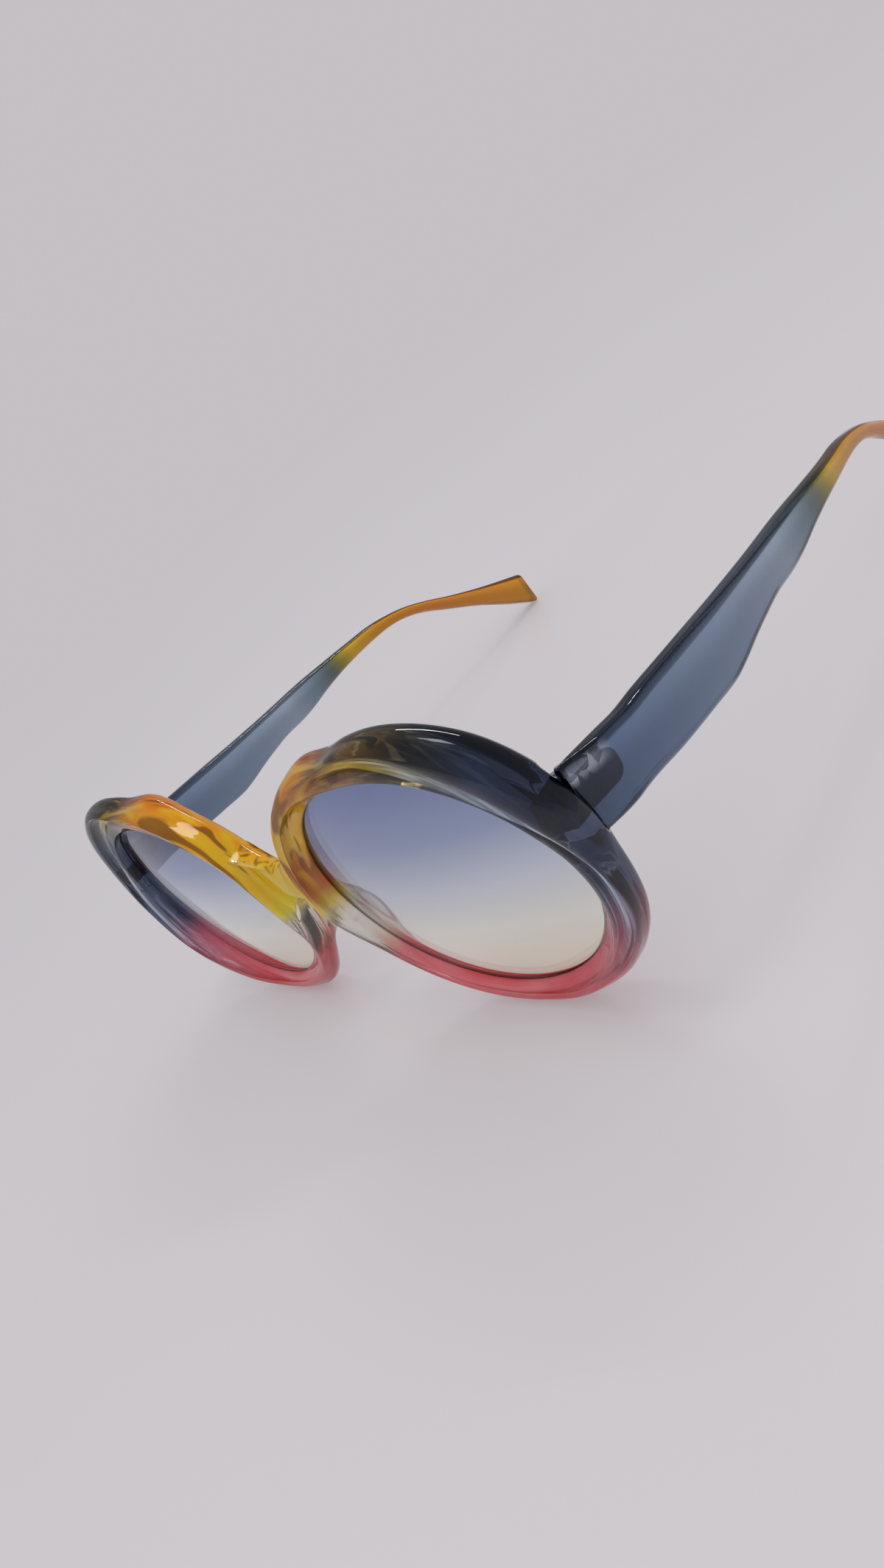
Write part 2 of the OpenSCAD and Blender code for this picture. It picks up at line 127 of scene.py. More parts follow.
def rim_corners(a):
    """The 22 corners of the rim's section at angles a, each (distance out from the opening, distance
    forward): groove, lip, inner strand, valley, ridge, brow strand, back and nose pad. They take their
    places from the tables, and what is added there is in mm or a share of the brow, the dip or the pad."""
    width, ridge, valley = along(RIM_WIDTH, a), along(RIDGE_AT, a), along(VALLEY_AT, a)
    dip, front = along(PARTING, a) * VALLEY_D, along(FRONT_AT, a)
    edge, edge_deep = along(EDGE_AT, a), along(EDGE_DEPTH, a)
    pad, lift = np.maximum(along(NOSE_PAD, a), 0), along(BACK_UP, a)
    floor, brow, one = front - dip - 0.1, width - ridge, np.ones_like(a)
    half, deep = LENS_T / 2 + GROOVE_PLAY, GROOVE_D + GROOVE_PLAY
    back, plain_lift, shoulder = half + BACK_WALL, lift * (1 - pad), edge + 0.35
    rows = [
        (deep * one, -half * one), (deep * one, half * one), (0 * one, half * one),
        (edge * 0.5, (half + 0.9) * one), (edge, edge_deep),
        (shoulder, edge_deep + 0.35 * (floor - edge_deep) + 0.15),
        (shoulder * 0.45 + valley * 0.55, floor + dip * (valley - edge) * 0.08 + 0.02), (valley, floor),
        (ridge - 0.12, front - 0.3 * dip - 0.02), (ridge, front), (ridge + 0.28 * brow, front + 0.12),
        (ridge + 0.55 * brow, front - 0.35), (ridge + 0.8 * brow, front - 1.25),
        (width - 0.12, 0.5 * (front + lift) - 0.4), (width, 0.5 + lift),
        (width - 0.3 + 0.4 * pad, -0.9 + lift),
        (width - 1.1 + 1.2 * pad, -1.8 - 0.45 * pad * PAD_D + plain_lift),
        (width - 2.1 + 2 * pad, -back - pad * PAD_D + plain_lift),
        (2.5 + 0.4 * pad, -back - 0.95 * pad * PAD_D + 0.5 * plain_lift),
        (1.1 + 0.5 * pad, -back + 0.45 - 0.35 * pad * PAD_D),
        (0.15 * one, (-half - 0.5) * one), (0 * one, -half * one)]
    return np.stack([np.stack(pair, -1) for pair in rows], 1)


# How sharp each of these corners is, and in how many steps the section goes on to the next one.
CORNER_SHARP = np.array([1, 1, 0.9, 0.2, 0.5, 0.2, 0, 0.1, 0.4, 0.7, 0, 0, 0, 0, 0, 0, 0, 0, 0, 0, 0.3, 0.9])
CORNER_STEPS = [2, 1, 3, 3, 2, 3, 3, 5, 2, 5, 5, 5, 7, 4, 4, 4, 4, 10, 3, 3, 2, 1]


def rounded_section(corners, sharp, steps):
    """Closed curve through the corners of each section: a cubic from corner to corner. Its slope at a corner
    is the mean of the two chords there, weighed by their lengths, or each chord's own where it is sharp."""
    out, into = np.roll(corners, -1, 1) - corners, corners - np.roll(corners, 1, 1)
    out_l = np.maximum(np.linalg.norm(out, axis=2, keepdims=True), 1e-6)
    into_l = np.maximum(np.linalg.norm(into, axis=2, keepdims=True), 1e-6)
    mean = (into * out_l / into_l + out * into_l / out_l) / (into_l + out_l)
    k = sharp[None, :, None]
    leave, reach = mean * (1 - k) + out / out_l * k, mean * (1 - k) + into / into_l * k
    pieces = []
    for i, count in enumerate(steps):
        j = (i + 1) % len(steps)
        s = (np.arange(count) / count)[None, :, None]
        chord = out_l[:, i, None]
        pieces.append(cubic(s, corners[:, i, None], chord * leave[:, i, None],
                            corners[:, j, None], chord * reach[:, j, None]))
    return np.concatenate(pieces, 1)


def wrapped(x, y, z):
    """Points of a lens's own frame, turned back by the wrap about its upright line and moved to its place."""
    return np.stack([LENS_X + x * math.cos(WRAP) - y * math.sin(WRAP),
                     x * math.sin(WRAP) + y * math.cos(WRAP), z], -1)


def round_the_lens(a, section):
    """Sections carried round the lens opening, out along the ellipse's normal and forward from the lens
    curve, whose depth is that at the ellipse and follows the sphere only as far out as the groove."""
    c, s = np.cos(np.radians(a))[:, None], np.sin(np.radians(a))[:, None]
    n = np.hypot(OPEN_B * c, OPEN_A * s)
    x = OPEN_A * c + section[..., 0] * OPEN_B * c / n
    z = OPEN_B * s + section[..., 0] * OPEN_A * s / n
    seat = np.clip(section[..., 0], 0, GROOVE_D)
    forward = section[..., 1] + LENS_TOP - lens_sag(np.hypot(OPEN_A * c, OPEN_B * s) + seat)
    return wrapped(x, -forward, z)


# Landing behind the brow's outer end, on which the temple's front end stops: its sides and its soft edge.
LANDING_X, LANDING_LOW, LANDING_HIGH, LANDING_EDGE = 64.45, 30.6, 42.8, 0.5


def stood_on_table(p):
    """Points of the front's own frame, leaned forward about X and set on the table, from mm to metres."""
    x, y, z = p[..., 0], p[..., 1], p[..., 2]
    return np.stack([x, y * math.cos(LEAN) - z * math.sin(LEAN) - HALF_LENGTH,
                     y * math.sin(LEAN) + z * math.cos(LEAN) + FRONT_Z], -1) / 1000


def landed(p):
    """Points in metres with the flat landing for each temple pressed into the back of the front: those
    behind the plane y = BACK_Y are brought onto it, fully inside the outline and fading over its edge."""
    inside = np.minimum(np.abs(p[..., 0]) * 1000 - LANDING_X,
                        np.minimum(p[..., 2] * 1000 - LANDING_LOW, LANDING_HIGH - p[..., 2] * 1000))
    share = np.clip(inside / LANDING_EDGE, 0, 1)
    behind = np.maximum(p[..., 1] - (BACK_Y - HALF_LENGTH) / 1000, 0)
    flat = p.copy()
    flat[..., 1] -= behind * share
    return flat


def grid_quads(index, wrap_rows, wrap_columns):
    """Quads between neighbouring rows and columns of a grid of vertex numbers."""
    if wrap_rows:
        index = np.vstack([index, index[:1]])
    if wrap_columns:
        index = np.hstack([index, index[:, :1]])
    return np.stack([index[:-1, :-1], index[1:, :-1], index[1:, 1:], index[:-1, 1:]], -1).reshape(-1, 4)


def finished_mesh(name, points, faces, fields=None):
    """Object at the origin from points in metres and faces, smooth, with its faces turned outwards when
    the volume that they close comes out negative. Fields are numbers by point that its material reads."""
    mesh = bpy.data.meshes.new(name)
    mesh.from_pydata(points.tolist(), [], [list(f) for f in faces])
    mesh.validate()
    mesh.calc_loop_triangles()
    tri = np.zeros(len(mesh.loop_triangles) * 3, int)
    mesh.loop_triangles.foreach_get("vertices", tri)
    t = points[tri.reshape(-1, 3)]
    if np.einsum("ij,ij->", t[:, 0], np.cross(t[:, 1], t[:, 2])) < 0:
        mesh.flip_normals()
    for field, values in (fields or {}).items():
        mesh.attributes.new(field, "FLOAT", "POINT").data.foreach_set("value", values.astype(np.float32))
    mesh.shade_smooth()
    obj = bpy.data.objects.new(name, mesh)
    bpy.context.scene.collection.objects.link(obj)
    return obj


# Where the front face, the nose pad and its dark rear edge begin in mm forward, and how they fade in.
FACE_FROM, FACE_FADE, DEPTH_FROM, DEPTH_FADE = 1.5, 1, -1, 3
PAD_FROM, PAD_FADE, PAD_EDGE_REACH, PAD_EDGE_FADE, PAD_BLEND = -2.1, 0.7, 0.81, 0.45, 3


def strand_fields(a, section):
    """Numbers for each point of the sections at angles a, which the material reads: how far outside the
    ridge it is in mm, how far from the valley's floor in half widths of the pale facet there, how much of
    that facet and of the painted highlight lines beside it the angle shows on the front face, how far
    forward the point lies, how far it belongs to the nose pad, and how near it is to the pad's rear edge."""
    a = a[:, None]
    out, forward = section[..., 0], section[..., 1]
    face = np.clip((forward - FACE_FROM) / FACE_FADE, 0, 1)
    pad = np.clip(along(NOSE_PAD, a) * PAD_BLEND, 0, 1)
    from_rear = forward - forward.min(1, keepdims=True)
    return {"ridge_way": out - along(RIDGE_AT, a),
            "valley_way": (out - along(VALLEY_AT, a) - 0.1) / along(FACET_HALF, a),
            "facet_share": face * along(PARTING, a),
            "highlight_line_share": face * along(HIGHLIGHT_LINES, a),
            "front_share": np.clip((forward - DEPTH_FROM) / DEPTH_FADE, 0, 1),
            "pad_share": pad * np.clip((PAD_FROM - forward) / PAD_FADE, 0, 1),
            "pad_edge": pad * np.clip((PAD_EDGE_REACH - from_rear) / PAD_EDGE_FADE, 0, 1)}


# The rim's stations, the patch of its nose side by angle and by point of the section that opens into the
# bridge, and the bridge's middle: its place, half its depth and height, and how its rings leave and meet.
RIM_STATIONS, BRIDGE_RINGS = 400, 14
PATCH_A0, PATCH_A1 = 152, 190
PATCH_FIRST, PATCH_LAST = sum(CORNER_STEPS[:12]), sum(CORNER_STEPS[:17])
BRIDGE_Z, BRIDGE_Y, BRIDGE_HIGH, BRIDGE_DEEP = 5, -2.3, 4.2, 2.2
BRIDGE_LEAVE, BRIDGE_MEET, BRIDGE_SQUARE = 5, 7, 0.8


def patch_edge(rows, cols):
    """Places (station, point) in order round the edge of a patch of the rim, and those one step inside."""
    down, over = np.arange(len(rows) - 1), np.arange(len(cols) - 1)
    last_row, last_col = len(down), len(over)
    i = np.concatenate([down, 0 * over + last_row, last_row - down, 0 * over])
    j = np.concatenate([0 * down, over, 0 * down + last_col, last_col - over])
    inside = rows[np.clip(i, 1, last_row - 1)], cols[np.clip(j, 1, last_col - 1)]
    return (rows[i], cols[j]), inside


def bridge_rings(start, inward):
    """Rings from the open edge of the left rim to the middle: cubics that leave the rim along its surface
    and reach the plane x = 0 square on, at an oval. Each point of the oval goes by its turn about the
    edge's middle, with the turn's cosine and sine to the power BRIDGE_SQUARE as its y and z."""
    inward = inward / np.linalg.norm(inward, axis=1, keepdims=True)
    y, z = ((start - start.mean(0)) / np.ptp(start, 0))[:, 1:].T
    turn = np.arctan2(z, y)
    y, z = (np.sign(v) * np.abs(v) ** BRIDGE_SQUARE for v in (np.cos(turn), np.sin(turn)))
    goal = np.stack([0 * turn, BRIDGE_Y + BRIDGE_DEEP * y, BRIDGE_Z + BRIDGE_HIGH * z], -1)
    s = (np.arange(1, BRIDGE_RINGS + 1) / BRIDGE_RINGS)[:, None, None]
    return cubic(s, start, inward * BRIDGE_LEAVE, goal, np.array([-BRIDGE_MEET, 0, 0]))


def with_mirror_image(points, faces, fields, shared):
    """Both halves from the left one: its points, faces and fields again with x turned about. The shared
    points, which lie in the plane x = 0, stay the same ones."""
    number = np.arange(len(points))
    image = np.where(shared, number, len(points) + np.cumsum(~shared) - 1)
    return (np.vstack([points, points[~shared] * [-1, 1, 1]]), np.vstack([faces, image[faces][:, ::-1]]),
            {field: np.concatenate([values, values[~shared]]) for field, values in fields.items()})


def moulded_front():
    """Both rims and the bridge as one skin. Each rim is a closed tube of sections round its lens, with a
    patch of its nose side left out, and the bridge's rings join that patch's edge to its mirror image."""
    a = 180 - np.arange(RIM_STATIONS) * 360 / RIM_STATIONS
    section = rounded_section(rim_corners(a), CORNER_SHARP, CORNER_STEPS)
    rim = round_the_lens(a, section)
    index = np.arange(rim[..., 0].size).reshape(rim.shape[:2])
    first, last = (int((180 - angle) / 360 * RIM_STATIONS) for angle in (PATCH_A1, PATCH_A0))
    rows = np.arange(first, last + 1) % RIM_STATIONS
    cols = np.arange(PATCH_FIRST, PATCH_LAST + 1)
    left_out = np.zeros(index.shape, bool)
    left_out[np.ix_(rows[:-1], cols[:-1])] = True
    edge, inside = patch_edge(rows, cols)
    rings = bridge_rings(rim[edge], rim[inside] - rim[edge])
    ring_index = index.size + np.arange(rings[..., 0].size).reshape(rings.shape[:2])
    points = np.vstack([rim.reshape(-1, 3), rings.reshape(-1, 3)])
    tube = grid_quads(np.vstack([index[edge], ring_index]), False, True)
    faces = np.vstack([grid_quads(index, True, True)[~left_out.reshape(-1)], tube[:, ::-1]])
    fields = {field: np.concatenate([values.reshape(-1), np.tile(values[edge], BRIDGE_RINGS)])
              for field, values in strand_fields(a, section).items()}
    shared = np.arange(len(points)) >= ring_index[-1, 0]
    points, faces, fields = with_mirror_image(points, faces, fields, shared)
    return landed(stood_on_table(points)), faces, fields


def new_material(name):
    """Empty node material with its output, ready for a shader."""
    mat = bpy.data.materials.new(name)
    mat.use_nodes = True
    mat.node_tree.nodes.clear()
    out = mat.node_tree.nodes.new("ShaderNodeOutputMaterial")
    return mat, mat.node_tree, out


def joined(tree, kind, inputs, output=0, **settings):
    """New node of a kind with its settings, and its inputs linked to sockets or set to numbers."""
    node = tree.nodes.new(kind)
    for key, value in settings.items():
        setattr(node, key, value)
    for key, value in inputs.items():
        if isinstance(value, bpy.types.NodeSocket):
            tree.links.new(value, node.inputs[key])
        else:
            node.inputs[key].default_value = value
    return node.outputs[output]


def colour_run(tree, factor, stops):
    """Colour ramp with the stops as (position, (red, green, blue))."""
    node = tree.nodes.new("ShaderNodeValToRGB")
    tree.links.new(factor, node.inputs[0])
    ramp = node.color_ramp
    while len(ramp.elements) < len(stops):
        ramp.elements.new(0.5)
    for element, (position, colour) in zip(ramp.elements, stops):
        element.position = position
        element.color = (*colour, 1)
    return node.outputs[0]


def maths(tree, operation, *values):
    """Number worked out by the operation from the values."""
    return joined(tree, "ShaderNodeMath", dict(enumerate(values)), operation=operation)


def spread(tree, value, low=0.0, high=1.0, to_low=0.0, to_high=1.0, **settings):
    """Number from to_low to to_high, as the value goes from low to high, and held there past them."""
    return joined(tree, "ShaderNodeMapRange", {0: value, 1: low, 2: high, 3: to_low, 4: to_high}, **settings)


def blend(tree, share, under, over, **settings):
    """Colour that goes from under to over with the share. Each is a socket or (red, green, blue)."""
    under, over = ((*c, 1) if isinstance(c, tuple) else c for c in (under, over))
    return joined(tree, "ShaderNodeMix", {0: share, 6: under, 7: over}, 2, data_type="RGBA", **settings)


def noise(tree, place, scale, detail, twist=0.0):
    """Cloudy number from 0 to 1 by place."""
    return joined(tree, "ShaderNodeTexNoise", {
        "Vector": place, "Scale": scale, "Detail": detail, "Distortion": twist}, "Fac")


def by_point(tree, field):
    """Number that the mesh keeps for each of its points."""
    return joined(tree, "ShaderNodeAttribute", {}, "Fac", attribute_name=field)


def own_place(tree):
    """Place in the shared frame, in metres."""
    return joined(tree, "ShaderNodeTexCoord", {}, "Object")


def faint_waves(tree, scale, strength):
    """Bump of a very shallow waviness, as left by the mould and the polishing."""
    height = noise(tree, own_place(tree), scale, 2.0)
    return joined(tree, "ShaderNodeBump", {
        "Height": height, "Strength": strength, "Distance": 0.001}, "Normal")


PLASTIC_IOR, SMOKE_TONE, SMOKE_DENSITY = 1.5, (0.35, 0.33, 0.38), 20


def polished(tree, out, colour, roughness, bump, clear=1.0):
    """Transparent plastic that refracts with its surface colour. What isn't clear of it is cloudy."""
    shader = joined(tree, "ShaderNodeBsdfPrincipled", {
        "Base Color": colour, "Transmission Weight": clear, "IOR": PLASTIC_IOR, "Roughness": roughness,
        "Normal": bump})
    tree.links.new(shader, out.inputs["Surface"])


def smoked(tree, out):
    """Faint smoke all through the plastic, which darkens long ways inside it."""
    absorb = joined(tree, "ShaderNodeVolumeAbsorption", {"Color": (*SMOKE_TONE, 1), "Density": SMOKE_DENSITY})
    tree.links.new(absorb, out.inputs["Volume"])


def turn_share(a):
    """Place on a colour run, from 0 to 1, of the point of the lens opening's oval at angle a."""
    turn = math.atan2(OPEN_B * math.sin(math.radians(a)), OPEN_A * math.cos(math.radians(a)))
    return {-180: 0.0, 180: 1.0}.get(a, 0.5 + turn / (2 * math.pi))


# Each run goes round the lens as the tables above do, from the nose side over the bottom and the top back to
# it: the colours of the brow strand, the inner strand, the facet with its painted highlight and the
# filaments, and the shares of the cloudy part, of the filaments and of the swirls.
BROW_RUN = [
    (-180, (1.0, 0.70, 0.01)), (-177, (1.0, 0.80, 0.03)), (-174, (1.0, 0.88, 0.28)),
    (-170, (0.88, 0.85, 0.74)), (-158, (0.86, 0.82, 0.72)), (-153, (0.78, 0.48, 0.36)),
    (-146, (0.93, 0.22, 0.24)), (-120, (0.97, 0.12, 0.14)), (-90, (0.97, 0.085, 0.10)),
    (-50, (0.93, 0.12, 0.15)), (-31, (0.62, 0.10, 0.16)), (-22, (0.26, 0.07, 0.12)),
    (-14, (0.07, 0.075, 0.14)), (-5, (0.09, 0.13, 0.23)), (13, (0.09, 0.14, 0.24)),
    (22, (0.035, 0.06, 0.13)), (30, (0.008, 0.016, 0.05)), (45, (0.004, 0.010, 0.036)),
    (60, (0.008, 0.012, 0.02)), (69, (0.10, 0.07, 0.02)), (88, (0.16, 0.10, 0.015)),
    (94, (0.58, 0.21, 0.03)), (104, (0.82, 0.27, 0.015)), (113, (0.95, 0.33, 0.008)),
    (122, (1.0, 0.40, 0.005)), (150, (1.0, 0.48, 0.005)), (165, (1.0, 0.56, 0.01)),
    (180, (1.0, 0.70, 0.015))]
INNER_RUN = [
    (-180, (0.85, 0.55, 0.07)), (-176, (0.82, 0.72, 0.42)), (-171, (0.84, 0.80, 0.68)),
    (-155, (0.84, 0.80, 0.70)), (-150, (0.8, 0.55, 0.45)), (-143, (0.88, 0.28, 0.3)),
    (-120, (0.95, 0.20, 0.23)), (-90, (0.95, 0.15, 0.16)), (-50, (0.85, 0.14, 0.18)),
    (-29, (0.5, 0.12, 0.19)), (-19, (0.08, 0.06, 0.11)), (-9, (0.01, 0.015, 0.04)),
    (25, (0.007, 0.012, 0.035)), (42, (0.08, 0.11, 0.16)), (55, (0.05, 0.05, 0.04)),
    (66, (0.02, 0.014, 0.005)), (76, (0.035, 0.016, 0.002)), (86, (0.14, 0.05, 0.004)),
    (100, (0.40, 0.11, 0.005)), (114, (0.62, 0.22, 0.008)), (124, (0.95, 0.50, 0.02)),
    (146, (1.0, 0.56, 0.015)), (153, (0.68, 0.17, 0.01)), (172, (0.66, 0.12, 0.01)),
    (180, (0.85, 0.55, 0.07))]
# The facet's pale tones are its cloudy plastic, brightened as a painted highlight.
FACET_TONE_AND_HIGHLIGHT_RUN = [
    (-60, (0.62, 0.20, 0.25)), (-30, (0.50, 0.34, 0.42)), (-16, (0.56, 0.63, 0.74)),
    (0, (0.60, 0.68, 0.80)), (18, (0.58, 0.65, 0.76)), (35, (0.36, 0.41, 0.49)), (45, (0.33, 0.36, 0.39)),
    (60, (0.36, 0.37, 0.33)), (68, (0.34, 0.31, 0.12)), (76, (0.56, 0.42, 0.03)), (86, (0.76, 0.50, 0.02)),
    (98, (0.50, 0.20, 0.02))]
CLOUDY_RUN = [
    (-180, 0.66), (-177, 0.6), (-174, 0.3), (-170, 0.03), (-155, 0.03), (-142, 0.35), (-90, 0.5),
    (-45, 0.42), (-28, 0.14), (-16, 0.03), (45, 0.04), (64, 0.06), (90, 0.14), (100, 0.42), (112, 0.62),
    (165, 0.66), (180, 0.66)]
HAIR_RUN = [
    (-70, (0.8, 0.35, 0.40)), (-40, (0.30, 0.34, 0.45)), (0, (0.24, 0.30, 0.42)), (52, (0.13, 0.16, 0.23)),
    (64, (0.34, 0.27, 0.10)), (90, (0.62, 0.42, 0.07)), (104, (1.0, 0.6, 0.1))]
HAIR_SHARE = [
    (-70, 0.0), (-45, 0.4), (-20, 0.15), (0, 0.12), (50, 0.25), (64, 0.8), (94, 0.75), (104, 0.3),
    (114, 0.0)]
SWIRL_RUN = [(-180, 0.0), (70, 0.0), (84, 0.5), (104, 0.8), (130, 1.0), (158, 0.9), (172, 0.2), (180, 0.0)]

# The streaks' reach in radians, how fine the flow is round the lens and across it, and where one strand
# passes into the other, in mm. Each range is (low, high), with the two numbers that these become, if any.
STREAKS, FLOW_ROUND, FLOW_ACROSS = 0.17, 2.2, 420.0
STRAND_EDGE, STREAK_DEEPENS, BACK_DEEPENS = (-0.12, 0.08), (0.3, 0.7, 0.72, 1.3), (0.0, 1.0, 1.25, 0.75)
CURL_SCALE, CURL_TWIST, BRIGHT_CURL, DARK_CURL = 0.62, 1.8, (0.53, 0.64, 0.0, 0.9), (0.46, 0.385, 0.0, 0.85)
BRIGHT_AMBER, DARK_AMBER, BRIGHT_CLOUDY = (1.0, 0.60, 0.015), (0.22, 0.075, 0.004), 0.75
HAIR_FLOW, HAIR_TWIST, HAIR_RANGE = (0.9, 3.2, 3.2), 0.5, (0.54, 0.64)
PAD_TONE, PAD_EDGE_TONE = (0.84, 0.80, 0.75), (0.13, 0.08, 0.055)
FACET_EDGE, FACET_WEAR, FACET_CLOUDY = (1.15, 0.9), (0.35, 0.65, 1.7, 0.6), 0.7
# Painted highlight lines: the turns of their sine across the valley, and the part of it that becomes their
# share.
HIGHLIGHT_LINE_TURN, HIGHLIGHT_LINE_RANGE = 3.6, (0.3, 1.0, 0.0, 0.6)
FRONT_ROUGHNESS, FRONT_WAVES = 0.03, (90.0, 0.06)


def flow_round_lens(tree):
    """Angle round the middle of the nearer lens, and a place (angle, distance from that middle, depth), in
    which a pattern is long round the lens and fine across it."""
    x, y, z = (joined(tree, "ShaderNodeSeparateXYZ", {0: own_place(tree)}, i) for i in range(3))
    across = maths(tree, "SUBTRACT", maths(tree, "ABSOLUTE", x), LENS_X / 1000)
    above = maths(tree, "SUBTRACT", z, FRONT_Z / 1000)
    angle = maths(tree, "ARCTAN2", above, across)
    upright = joined(tree, "ShaderNodeCombineXYZ", {0: across, 1: above})
    reach = joined(tree, "ShaderNodeVectorMath", {0: upright}, "Value", operation="LENGTH")
    ways = (angle, FLOW_ROUND), (reach, FLOW_ACROSS), (y, FLOW_ACROSS)
    flow = joined(tree, "ShaderNodeCombineXYZ", {
        i: maths(tree, "MULTIPLY", way, fineness) for i, (way, fineness) in enumerate(ways)})
    return angle, flow


def with_swirls(tree, flow, colour, swirled):
    """The colour with bright and then dark swirls laid over it, and the share of the bright ones."""
    curl = noise(tree, flow, CURL_SCALE, 1.0, CURL_TWIST)
    bright, dark = (maths(tree, "MULTIPLY", spread(tree, curl, *limits), swirled)
                    for limits in (BRIGHT_CURL, DARK_CURL))
    return blend(tree, dark, blend(tree, bright, colour, BRIGHT_AMBER), DARK_AMBER), bright


def facet_and_highlight_lines(tree):
    """Share of the pale facet along the valley's floor and of the painted highlight lines beside it, which
    are the crests of a sine of the way across the valley."""
    valley_way = by_point(tree, "valley_way")
    facet = maths(tree, "MULTIPLY", spread(tree, maths(tree, "ABSOLUTE", valley_way), *FACET_EDGE),
                  by_point(tree, "facet_share"))
    # The crests of this sine are the painted highlight lines.
    wave = maths(tree, "SINE", maths(tree, "MULTIPLY", valley_way, HIGHLIGHT_LINE_TURN))
    groove = maths(tree, "MULTIPLY", spread(tree, wave, *HIGHLIGHT_LINE_RANGE), by_point(tree, "highlight_line_share"))
    return maths(tree, "MAXIMUM", facet, groove)


def front_material():
    """Clear plastic whose colour follows the angle round the nearer lens, with one run of colours for the
    brow strand, one for the inner strand and one for the cloudy facet, partly a painted highlight, and the
    painted highlight lines between them.
    Streaks that are long round the lens and fine across it blur the runs, as the colours do where they
    flow together in the mould. Dark and bright swirls lie in the amber, and thin golden filaments in the
    brow. The nose pads are clear with a dark rear edge."""
    mat, tree, out = new_material("graded front plastic")
    angle, flow = flow_round_lens(tree)
    streak = noise(tree, flow, 1.0, 3.0)
    angle = maths(tree, "MULTIPLY_ADD", streak, STREAKS, angle)
    share = maths(tree, "MULTIPLY_ADD", angle, 1 / (2 * math.pi), 0.5 - STREAKS / (4 * math.pi))
    brow_colour, inner_colour, facet_tone_and_highlight, hair_colour = (
        colour_run(tree, share, [(turn_share(a), c) for a, c in run])
        for run in (BROW_RUN, INNER_RUN, FACET_TONE_AND_HIGHLIGHT_RUN, HAIR_RUN))
    cloudy, swirled, hairy = (
        colour_run(tree, share, [(turn_share(a), (c, c, c)) for a, c in run])
        for run in (CLOUDY_RUN, SWIRL_RUN, HAIR_SHARE))
    brow = spread(tree, by_point(tree, "ridge_way"), *STRAND_EDGE)
    deepened = maths(tree, "MULTIPLY", spread(tree, by_point(tree, "front_share"), *BACK_DEEPENS),
                     spread(tree, streak, *STREAK_DEEPENS))
    colour = blend(tree, brow, inner_colour, brow_colour)
    colour = joined(tree, "ShaderNodeGamma", {0: colour, 1: deepened})
    colour, bright = with_swirls(tree, flow, colour, swirled)
    fine = joined(tree, "ShaderNodeVectorMath", {0: flow, 1: HAIR_FLOW}, operation="MULTIPLY")
    fine = noise(tree, fine, 1.0, 2.0, HAIR_TWIST)
    hair = maths(tree, "MULTIPLY", spread(tree, fine, *HAIR_RANGE), hairy)
    facet = facet_and_highlight_lines(tree)
    facet_tone_and_highlight = joined(tree, "ShaderNodeGamma", {0: facet_tone_and_highlight, 1: spread(tree, fine, *FACET_WEAR)})
    # Last comes the facet's tone with its painted highlight, over the facet and the painted highlight lines.
    for part, tone in ((hair, hair_colour), (by_point(tree, "pad_share"), PAD_TONE),
                       (by_point(tree, "pad_edge"), PAD_EDGE_TONE), (facet, facet_tone_and_highlight)):
        colour = blend(tree, part, colour, tone)
    for part, most in ((facet, FACET_CLOUDY), (bright, BRIGHT_CLOUDY)):
        cloudy = maths(tree, "MAXIMUM", maths(tree, "MULTIPLY", part, most), cloudy)
    clear = maths(tree, "SUBTRACT", 1.0, cloudy)
    polished(tree, out, colour, FRONT_ROUGHNESS, faint_waves(tree, *FRONT_WAVES), clear)
    smoked(tree, out)
    return mat


front = finished_mesh("moulded_front", *moulded_front())
front.data.materials.append(front_material())
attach(front, "front")
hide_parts("front_frame")

# Tinted lenses.
# Curved sheets of polished plastic, cut to an oval and snapped into the groove of each rim.
# The tint fades from lilac blue at the top to a pale champagne at the bottom.
LENS_TURNS, LENS_RINGS, LENS_CHAMFER = 240, 40, 0.12

# The sheet is ground edge from this share of its width on, with these rings there, and the tint's run goes
# as far as its reach above and below the middle, in mm.
GROUND_FROM, GROUND_FADE, GROUND_RINGS = 0.961, 0.005, [0.966, 0.974, 0.9955, 1.0]
TINT_REACH, GROUND_TONE, LENS_ROUGHNESS, LENS_WAVES = 23, (0.12, 0.10, 0.09), 0.02, (40.0, 0.01)
TINT_RUN = [
    (0.0, (1.0, 0.86, 0.70)), (0.12, (1.0, 0.93, 0.78)), (0.3, (0.95, 0.95, 0.86)),
    (0.5, (0.68, 0.74, 0.82)), (0.7, (0.35, 0.42, 0.61)), (1.0, (0.18, 0.235, 0.47))]


